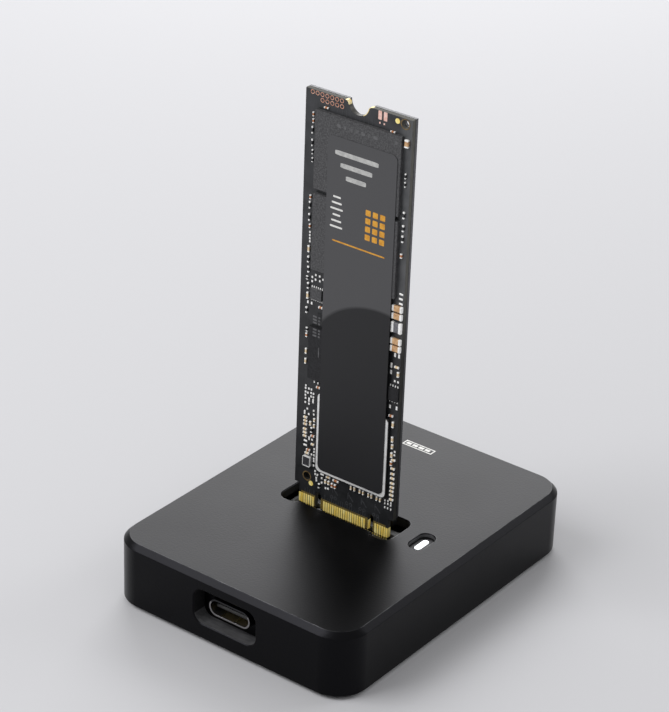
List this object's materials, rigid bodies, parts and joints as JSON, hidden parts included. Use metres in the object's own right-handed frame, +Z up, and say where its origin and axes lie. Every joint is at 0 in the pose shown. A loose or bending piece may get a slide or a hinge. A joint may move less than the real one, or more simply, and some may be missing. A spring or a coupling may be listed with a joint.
{
  "type": "ssd docking station",
  "caption": "Pocket docking station: flat bevelled metal box with a keyed card-edge slot in its top, a USB-C socket at one end, and a storage stick standing in the slot.",
  "frame": {"origin": "on the table, under the middle of the dock's rubber feet", "axes": "+Z up along the storage stick, -Y towards the USB-C end, +X towards the indicator's side"},
  "size_m": [0.052, 0.0676, 0.0912],
  "materials": {
    "anodised_shell": "satin black anodised",
    "cover_plastic": "fine spark-eroded texture, black",
    "foot_rubber": "matt black",
    "screw_steel": "black oxide",
    "board_laminate": "black solder mask over glass-epoxy laminate",
    "receptacle_steel": "drawn stainless steel",
    "moulded_black": "moulded glass-filled polymer",
    "gold_contact": "gold plating",
    "tinned_metal": "tin plating",
    "chip_epoxy": "moulded epoxy",
    "ceramic": "fired ceramic with tinned ends",
    "ferrite": "sintered ferrite",
    "lamp_white": "milky light guide",
    "label_film": "satin printed film",
    "lid_nickel": "nickel plate",
    "spreader_metal": "grey anodised"
  },
  "bodies": {
    "dock": {"top_housing": "anodised_shell", "bottom_cover": "cover_plastic", "cover_screws": "screw_steel", "board_screws": "screw_steel", "front_foot": "foot_rubber", "rear_foot": "foot_rubber", "main_board": "board_laminate", "usb_shell": "receptacle_steel", "usb_insert": "moulded_black", "usb_contacts": "gold_contact", "socket_body": "moulded_black", "socket_contacts_front": "gold_contact", "socket_contacts_rear": "gold_contact", "socket_hold_downs": "tinned_metal", "bridge_controller": "chip_epoxy", "firmware_chip": "chip_epoxy", "voltage_regulator": "chip_epoxy", "power_inductor": "ferrite", "clock_crystal": "tinned_metal", "filter_capacitors": "ceramic", "board_resistors": "ceramic", "status_led": "lamp_white", "light_pipe": "lamp_white"},
    "stick": {"stick_board": "board_laminate", "notch_plating": "gold_contact", "edge_contacts_front": "gold_contact", "edge_contacts_rear": "gold_contact", "flash_package_lower": "chip_epoxy", "flash_package_upper": "chip_epoxy", "memory_package": "chip_epoxy", "storage_controller": "chip_epoxy", "controller_lid": "lid_nickel", "stick_label": "label_film", "power_chips": "chip_epoxy", "stick_crystal": "tinned_metal", "stick_capacitors": "ceramic", "stick_small_parts": "ceramic", "spreader_adhesive": "moulded_black", "heat_spreader": "spreader_metal"}
  },
  "joints": [
    {"name": "stick_slide", "type": "slide", "parent": "dock", "child": "stick", "axis": [0, 0, 1], "range_m": [-0.0036, 0.03]}
  ]
}
